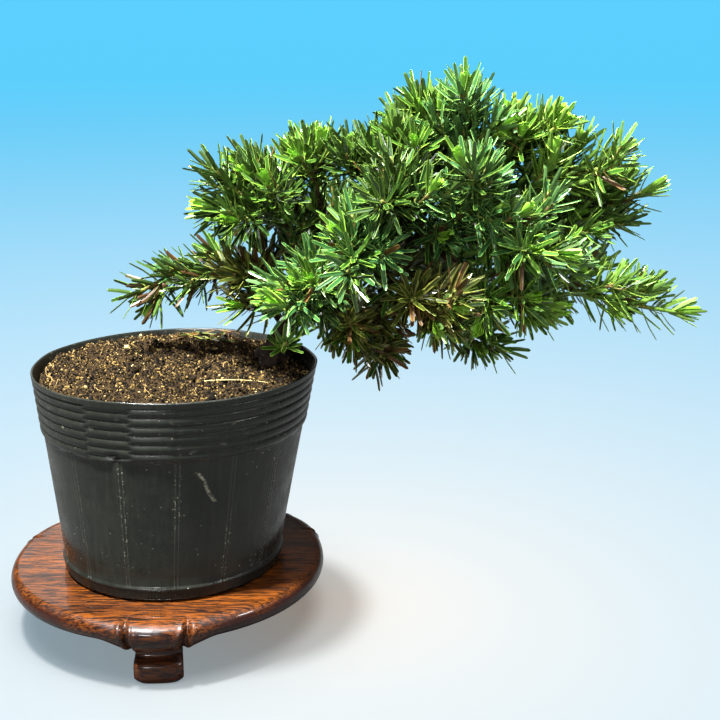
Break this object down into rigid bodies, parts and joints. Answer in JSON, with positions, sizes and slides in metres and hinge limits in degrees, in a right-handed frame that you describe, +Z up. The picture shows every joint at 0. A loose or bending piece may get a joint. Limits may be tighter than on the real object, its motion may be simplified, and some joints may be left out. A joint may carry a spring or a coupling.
{
  "type": "potted conifer",
  "caption": "Young flat-needled conifer leaning far out of a thin black nursery pot of soil, on a round footed wooden display stand.",
  "frame": {"origin": "middle of the bounding box in X and Y, on the ground under the stand's feet", "axes": "+Z up, +X towards the side that the tree leans out to, +Y towards its back"},
  "size_m": [0.2632, 0.1324, 0.2142],
  "materials": {
    "pot": "thin soft black plastic with a slight sheen, dusty and finely scratched",
    "soil": "moist brown potting grit with crumbs of yellow clay and dark bits of bark",
    "stand_wood": "red-brown hardwood with dark straight grain, rounded edges, clear gloss varnish",
    "bark": "dark brown scaly bark on the trunk, smoother and redder on the boughs",
    "needles": "flat blunt needles, glossy dark green above with a faint midrib and paler beneath, bright yellow-green at the shoot tips"
  },
  "bodies": {
    "root": {"stand_top": "stand_wood", "stand_leg_front": "stand_wood", "stand_leg_right": "stand_wood", "stand_leg_left": "stand_wood", "pot": "pot", "soil": "soil", "trunk": "bark", "bough_low_left": "bark", "foliage_low_left": "needles", "bough_upper_left": "bark", "foliage_upper_left": "needles", "bough_left_top": "bark", "foliage_left_top": "needles", "bough_left_crest": "bark", "foliage_left_crest": "needles", "bough_left_back": "bark", "foliage_left_back": "needles", "bough_crest": "bark", "foliage_crest": "needles", "bough_crest_high": "bark", "foliage_crest_high": "needles", "bough_top": "bark", "foliage_top": "needles", "bough_top_star": "bark", "foliage_top_star": "needles", "bough_top_right": "bark", "foliage_top_right": "needles", "bough_right_upper": "bark", "foliage_right_upper": "needles", "bough_right_lower": "bark", "foliage_right_lower": "needles", "bough_right_star": "bark", "foliage_right_star": "needles", "bough_right_back": "bark", "foliage_right_back": "needles", "bough_front_high": "bark", "foliage_front_high": "needles", "bough_front_right": "bark", "foliage_front_right": "needles", "bough_front_low": "bark", "foliage_front_low": "needles", "bough_front_left": "bark", "foliage_front_left": "needles", "bough_front_middle": "bark", "foliage_front_middle": "needles", "bough_front_crest": "bark", "foliage_front_crest": "needles", "bough_back_top": "bark", "foliage_back_top": "needles", "bough_back_low": "bark", "foliage_back_low": "needles", "bough_back_middle": "bark", "foliage_back_middle": "needles", "foliage_top_far": "needles", "foliage_low_right": "needles", "foliage_low_hanging": "needles", "foliage_left_under": "needles", "foliage_front_under": "needles", "foliage_foot_sprig": "needles"}
  },
  "joints": []
}
